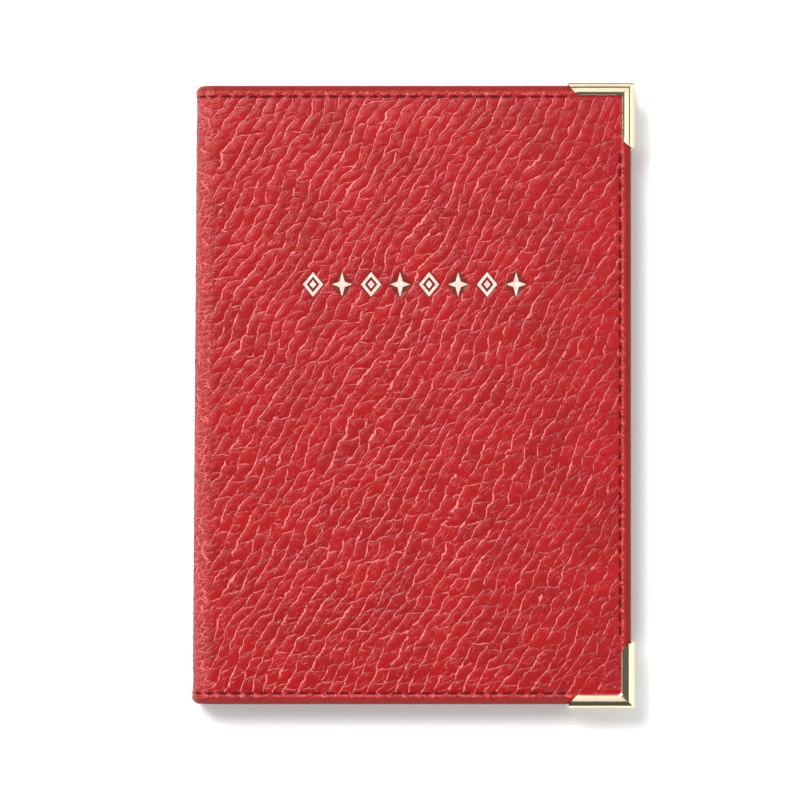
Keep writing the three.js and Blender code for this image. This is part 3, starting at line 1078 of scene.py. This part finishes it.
def metal_corner(side, end):
    """A pressed metal corner: an L-shaped channel, bevelled on its face."""
    way = ENDS[end]
    lowest = 0.0 if side == "back" else -1.0
    path_length = len(corner_path(0, CORNER_ARM))
    points = []
    section = CORNER_FACES[end] + CORNER_WRAP
    for inset, depth in section:
        depth = max(depth, lowest)
        z = depth if side == "back" else THICKNESS - depth
        for along_x, along_y in corner_path(inset, CORNER_ARM):
            points.append((CORNER_X - along_x, way * (CORNER_Y - along_y), z))
    count = len(section)
    faces = []
    for i in range(count):
        for j in range(path_length - 1):
            a, b = i * path_length + j, ((i + 1) % count) * path_length + j
            faces.append([a, b, b + 1, a + 1])
    faces.append([i * path_length for i in range(count)][::-1])
    faces.append([i * path_length + path_length - 1 for i in range(count)])
    made = make_mesh(f"{side}_{end}_metal_corner", np.array(points), faces, sharp=0.6)
    dress(made, GOLD)
    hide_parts(f"{side}_{end}_corner")
    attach(made, f"{side}_cover")


# ---- Foil marks on the front ----


def lozenge(half_u, half_v):
    return [(half_u, 0), (0, half_v), (-half_u, 0), (0, -half_v)]


def star(half_u, half_v):
    waist = 0.34 * (half_u + half_v) / 2
    tips = lozenge(half_u, half_v)
    points = []
    for k, tip in enumerate(tips):
        middle = math.pi / 2 * k + math.pi / 4
        points += [tip, (waist * math.cos(middle), waist * math.sin(middle))]
    return points


def drawn_in(outline, distance):
    """An outline whose every side has moved in by a distance, or out where it is negative."""
    points = []
    count = len(outline)
    for k in range(count):
        here = np.array(outline[k], float)
        sides = []
        for a, b in ((outline[k - 1], outline[k]), (outline[k], outline[(k + 1) % count])):
            way = np.array(b, float) - np.array(a, float)
            sides.append(np.array([-way[1], way[0]]) / np.linalg.norm(way))
        middle = sides[0] + sides[1]
        points.append(tuple(here + middle * distance / max(1 + float(np.dot(*sides)), 0.35)))
    return points


def foil_tray(outline, hole=None):
    """Points (u, v, depth) and faces of foil pressed into the leather: a floor between low walls."""
    loops = [
        [(*p, 0.30) for p in outline],
        [(*p, 0.03) for p in outline],
        [(*p, MARK_FLOOR) for p in drawn_in(outline, MARK_WALL)],
    ]
    if hole is not None:
        loops += [
            [(*p, MARK_FLOOR) for p in drawn_in(hole, -MARK_WALL)],
            [(*p, 0.03) for p in hole],
            [(*p, 0.30) for p in hole],
        ]
    count = len(outline)
    pairs = list(zip(range(len(loops)), range(1, len(loops))))
    if hole is not None:
        pairs.append((len(loops) - 1, 0))
    faces = []
    for a, b in pairs:
        for k in range(count):
            n = (k + 1) % count
            faces.append([a * count + k, a * count + n, b * count + n, b * count + k])
    if hole is None:
        faces.append(list(range(count))[::-1])
        faces.append([(len(loops) - 1) * count + k for k in range(count)])
    return [p for loop in loops for p in loop], faces


def foil_mark(number):
    u, v, half_u, half_v = mark_box(number)
    if number % 2 == 0:
        trays = [foil_tray(star(half_u, half_v))]
    else:
        outline = lozenge(half_u, half_v)
        trays = [
            foil_tray(outline, drawn_in(outline, MARK_STROKE)),
            foil_tray(lozenge(half_u * 0.34, half_v * 0.34)),
        ]
    points, faces = [], []
    for tray_points, tray_faces in trays:
        start = len(points)
        points += tray_points
        faces += [[start + k for k in face] for face in tray_faces]
    local = np.array(points)
    mark_u, mark_v = u + local[:, 0], v + local[:, 1]
    depth = cover_depth(mark_u, mark_v) + local[:, 2]
    sheet = np.stack([mark_u, mark_v, 0 * mark_u], axis=1)
    placed = place("front", mark_u, mark_v, depth)
    made = make_mesh(f"foil_mark_{number}", placed, faces, {"sheet": sheet}, 0.3)
    dress(made, FOIL)
    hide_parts(f"front_foil_mark_{number}")
    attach(made, "front_cover")


# ---- Building it ----


def dress_board(side):
    """The boards are the CAD's own solids."""
    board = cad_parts[f"{side}_board"]
    board.data.materials.clear()
    board.data.materials.append(BOARD)


for side in SIDES:
    bend(leather_sheet(side))
    inner_sheets(side)
    passport_pocket(side)
    seams(side)
    for end in ENDS:
        metal_corner(side, end)
    dress_board(side)

for place_name in ("rear", "front"):
    card_pocket(place_name)
    card_pocket_stitches(place_name)

for number in range(1, MARK_COUNT + 1):
    foil_mark(number)


# ---- Floor, light and camera ----


def make_floor():
    bpy.ops.mesh.primitive_plane_add(size=8, location=(0, 0, -0.0003))
    floor = bpy.context.object
    floor.name = "floor"
    material, _, shader = new_material("pale_floor")
    set_inputs(shader, Base_Color=(0.94, 0.94, 0.94, 1), Roughness=0.9, Specular_IOR_Level=0.2)
    floor.data.materials.append(material)


def area_light(name, position, size, watts):
    data = bpy.data.lights.new(name, "AREA")
    data.shape = "RECTANGLE"
    data.size, data.size_y = size
    data.energy = watts
    light = bpy.data.objects.new(name, data)
    bpy.context.scene.collection.objects.link(light)
    light.location = position
    light.rotation_mode = "QUATERNION"
    direction = -light.location.copy()
    light.rotation_quaternion = direction.to_track_quat("-Z", "Y")
    return light


def make_world():
    """White walls round a dark ceiling."""
    world = bpy.data.worlds.new("studio")
    world.use_nodes = True
    net = Net(world.node_tree)
    background = world.node_tree.nodes["Background"]
    background.inputs["Color"].default_value = (1, 1, 1, 1)
    height = net.parts(net.add("ShaderNodeTexCoord", out=0))[2]
    strength = net.ramp(height, 0.15, 0.75, 1.45, 0.09)
    world.node_tree.links.new(strength, background.inputs["Strength"])
    bpy.context.scene.world = world


# What the picture spans at the height of the front cover, and where the camera stands, in metres.
PICTURE_SPAN_MM = 180.79
CAMERA_Z = 1.2
CAMERA_OFF = (-0.0032, -0.00114)


def make_camera():
    data = bpy.data.cameras.new("camera")
    data.sensor_width = 36
    data.lens = data.sensor_width * (CAMERA_Z - THICKNESS * MM) / (PICTURE_SPAN_MM * MM)
    data.clip_start, data.clip_end = 0.1, 20
    camera = bpy.data.objects.new("camera", data)
    camera.location = (*CAMERA_OFF, CAMERA_Z)
    bpy.context.scene.collection.objects.link(camera)
    bpy.context.scene.camera = camera


make_floor()
make_world()
area_light("key", (-0.53, 0.69, 1.34), (0.70, 0.70), 29.5)
area_light("head_panel", (0.05, 0.70, 1.30), (1.1, 0.70), 2.4)
area_light("right_panel", (0.74, -0.05, 1.30), (0.70, 1.1), 3.5)
area_light("tail_fill", (0.1, -1.3, 0.9), (1.0, 0.5), 6.4)
make_camera()
bpy.context.scene.view_settings.view_transform = "Standard"
